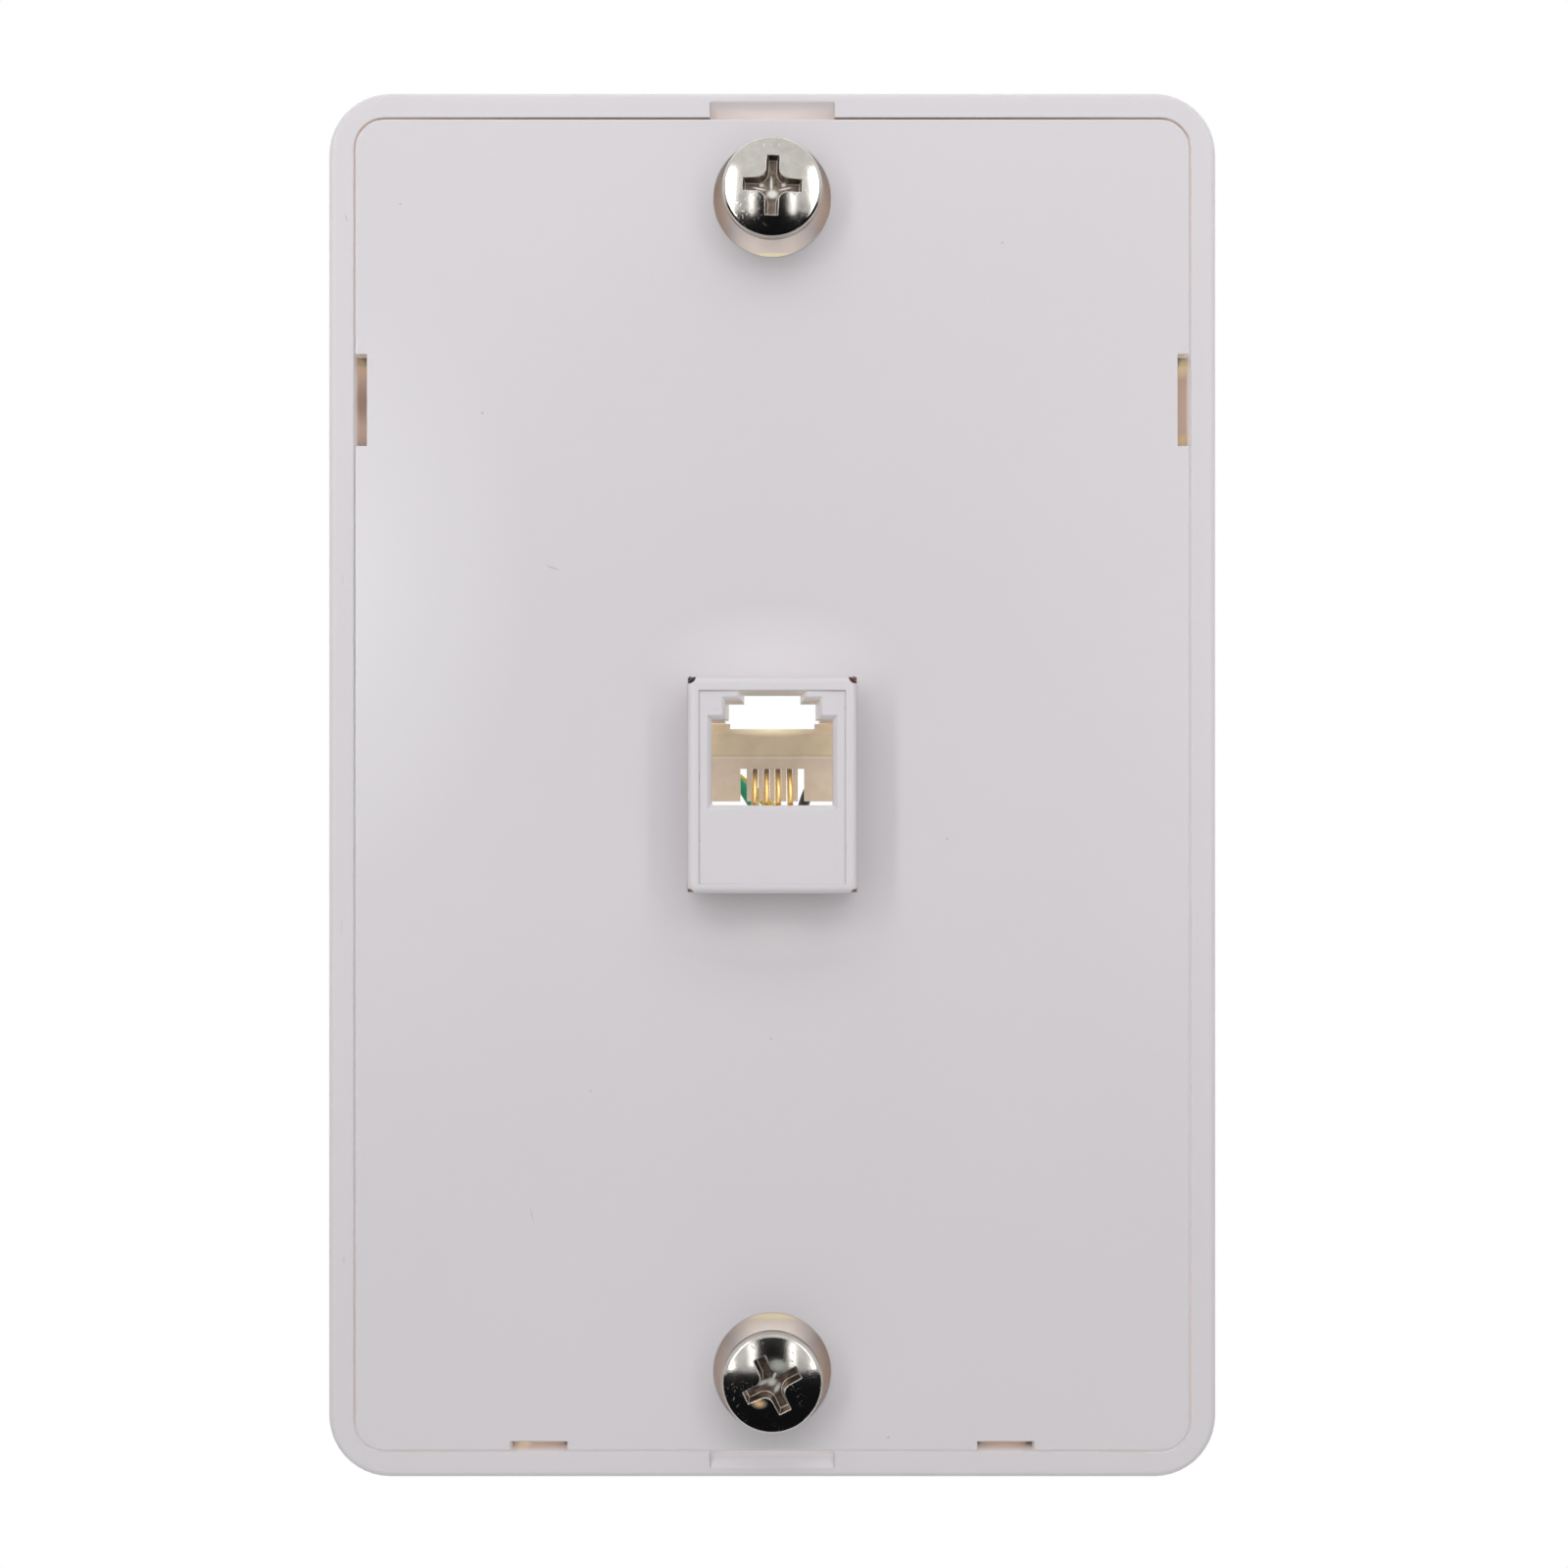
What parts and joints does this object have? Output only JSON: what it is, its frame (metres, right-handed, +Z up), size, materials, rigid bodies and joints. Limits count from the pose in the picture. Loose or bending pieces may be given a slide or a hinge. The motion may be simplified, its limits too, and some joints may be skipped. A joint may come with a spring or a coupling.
{
  "type": "telephone wall socket",
  "caption": "Wall telephone socket: a rimmed plate with a clipped cover panel, a stepped modular jack and keyhole studs for hanging a telephone.",
  "frame": {"origin": "on the wall face of the plate, midway between the two holes for the wall-box screws", "axes": "+Z up as mounted, front towards -Y, wall behind at +Y, +X to the right seen from the front"},
  "size_m": [0.0762, 0.0242, 0.1186],
  "materials": {
    "frame_plastic": "satin gloss, cool white",
    "panel_plastic": "glossy, cool white, with fine handling marks",
    "jack_plastic": "satin gloss, cool white",
    "insert_plastic": "matte, warm cream",
    "contact_gold": "bright gold plate",
    "stud_nickel": "bright nickel plate",
    "nut_steel": "zinc plate",
    "washer_steel": "zinc plate",
    "terminal_brass": "bright brass",
    "lug_tin": "tin plate",
    "sheath_black": "satin",
    "sheath_red": "satin",
    "sheath_green": "satin",
    "sheath_yellow": "satin"
  },
  "bodies": {
    "root": {"base_frame": "frame_plastic", "cover_panel": "panel_plastic", "jack_housing": "jack_plastic", "contact_comb": "insert_plastic", "contact_carrier": "insert_plastic", "contact_wire_1": "contact_gold", "contact_wire_2": "contact_gold", "contact_wire_3": "contact_gold", "contact_wire_4": "contact_gold", "stud_upper": "stud_nickel", "stud_lower": "stud_nickel", "stud_nut_upper": "nut_steel", "stud_nut_lower": "nut_steel", "terminal_washer_black": "washer_steel", "terminal_washer_red": "washer_steel", "terminal_washer_green": "washer_steel", "terminal_washer_yellow": "washer_steel", "terminal_screw_black": "terminal_brass", "terminal_screw_red": "terminal_brass", "terminal_screw_green": "terminal_brass", "terminal_screw_yellow": "terminal_brass", "lug_black": "lug_tin", "lug_red": "lug_tin", "lug_green": "lug_tin", "lug_yellow": "lug_tin", "lead_black": "sheath_black", "lead_red": "sheath_red", "lead_green": "sheath_green", "lead_yellow": "sheath_yellow"}
  },
  "joints": []
}
